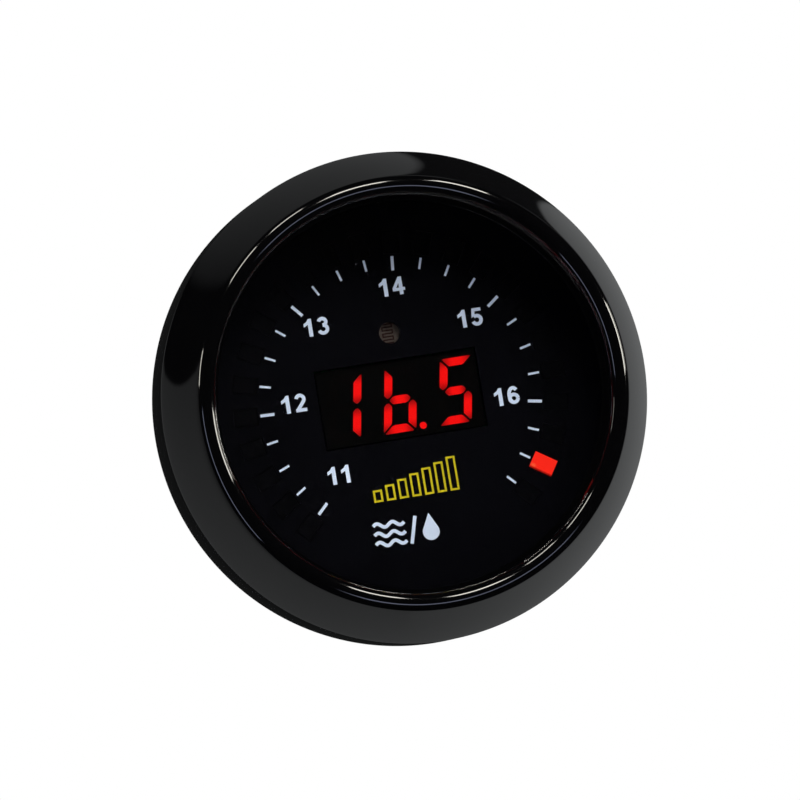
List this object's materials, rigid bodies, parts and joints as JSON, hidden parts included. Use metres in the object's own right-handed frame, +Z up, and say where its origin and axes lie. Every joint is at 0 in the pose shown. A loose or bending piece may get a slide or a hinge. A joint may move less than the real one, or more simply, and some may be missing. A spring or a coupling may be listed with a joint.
{
  "type": "air fuel ratio gauge",
  "caption": "Round panel gauge with a lit scale around a seven-segment display, a screwed bezel over a flat lens, and sockets, studs and an output selector at the rear.",
  "frame": {"origin": "on the gauge's axis, in the plane where the cup's flange seats on the panel", "axes": "-Y is the way the dial faces, +Y runs along the cup to the rear, +Z is up the dial, +X is to the right of someone who reads it"},
  "size_m": [0.0603, 0.0572, 0.0602],
  "materials": {
    "bezel_black": "gloss black moulded bezel",
    "lens_clear": "clear flat lens",
    "seal_rubber": "soft black seal",
    "dial_black": "satin black printed film",
    "dial_print": "white screen print",
    "smoke_plastic": "smoked acrylic, one window lit red",
    "module_black": "black display body",
    "lit_red": "glowing red bars",
    "unlit_red": "dark red tinted bars",
    "sensor_ceramic": "photocell with a wavy track",
    "guide_black": "black light guide",
    "lamp_white": "small lamps with clear tops",
    "tinned_pin": "tinned leads",
    "board_green": "green solder mask",
    "chip_black": "black moulded packages",
    "gilt_pin": "gold flashed contacts",
    "spacer_brass": "turned brass",
    "can_aluminium": "drawn aluminium cans",
    "ferrite": "grey ferrite and ceramic",
    "can_steel": "nickel plated can",
    "socket_black": "black nylon",
    "selector_blue": "blue moulded switch body",
    "rotor_white": "off-white rotor",
    "cup_black": "fine textured black moulding",
    "zinc_steel": "zinc plated steel"
  },
  "bodies": {
    "housing": {"housing_cup": "cup_black", "dial_face": "dial_black", "dial_marks": "dial_print", "light_pipe_ring": "smoke_plastic", "digit_module": "module_black", "lit_segments": "lit_red", "unlit_segments": "unlit_red", "light_sensor": "sensor_ceramic", "light_guide": "guide_black", "scale_leds": "lamp_white", "digit_pins": "tinned_pin", "display_board": "board_green", "led_drivers": "chip_black", "board_header": "chip_black", "header_pins": "gilt_pin", "board_spacers": "spacer_brass", "main_board": "board_green", "microcontroller": "chip_black", "sensor_controller": "chip_black", "voltage_regulator": "chip_black", "capacitors": "can_aluminium", "inductor": "ferrite", "crystal": "can_steel", "protection_diode": "chip_black", "chip_resistors": "ferrite", "power_socket": "socket_black", "power_pins": "gilt_pin", "sensor_socket": "socket_black", "sensor_pins": "gilt_pin", "selector_body": "selector_blue", "mounting_studs": "zinc_steel", "case_screws": "zinc_steel"},
    "lens_pack": {"lens": "lens_clear", "lens_seal": "seal_rubber"},
    "bezel_ring": {"bezel": "bezel_black"},
    "selector": {"selector_rotor": "rotor_white"}
  },
  "joints": [
    {"name": "bezel_lift", "type": "slide", "parent": "housing", "child": "lens_pack", "axis": [0, -1, 0], "range_m": [0, 0.0025]},
    {"name": "bezel_turn", "type": "hinge", "parent": "lens_pack", "child": "bezel_ring", "pos_m": [0, 0, 0], "axis": [0, -1, 0], "range_deg": [0, 450]},
    {"name": "selector_turn", "type": "hinge", "parent": "housing", "child": "selector", "pos_m": [0.0086, 0, -0.00717], "axis": [0, 1, 0], "range_deg": [-135, 135]}
  ],
  "couplings": [
    {"joint": "bezel_lift", "follows": "bezel_turn", "m_per_rad": 0.00031831}
  ]
}
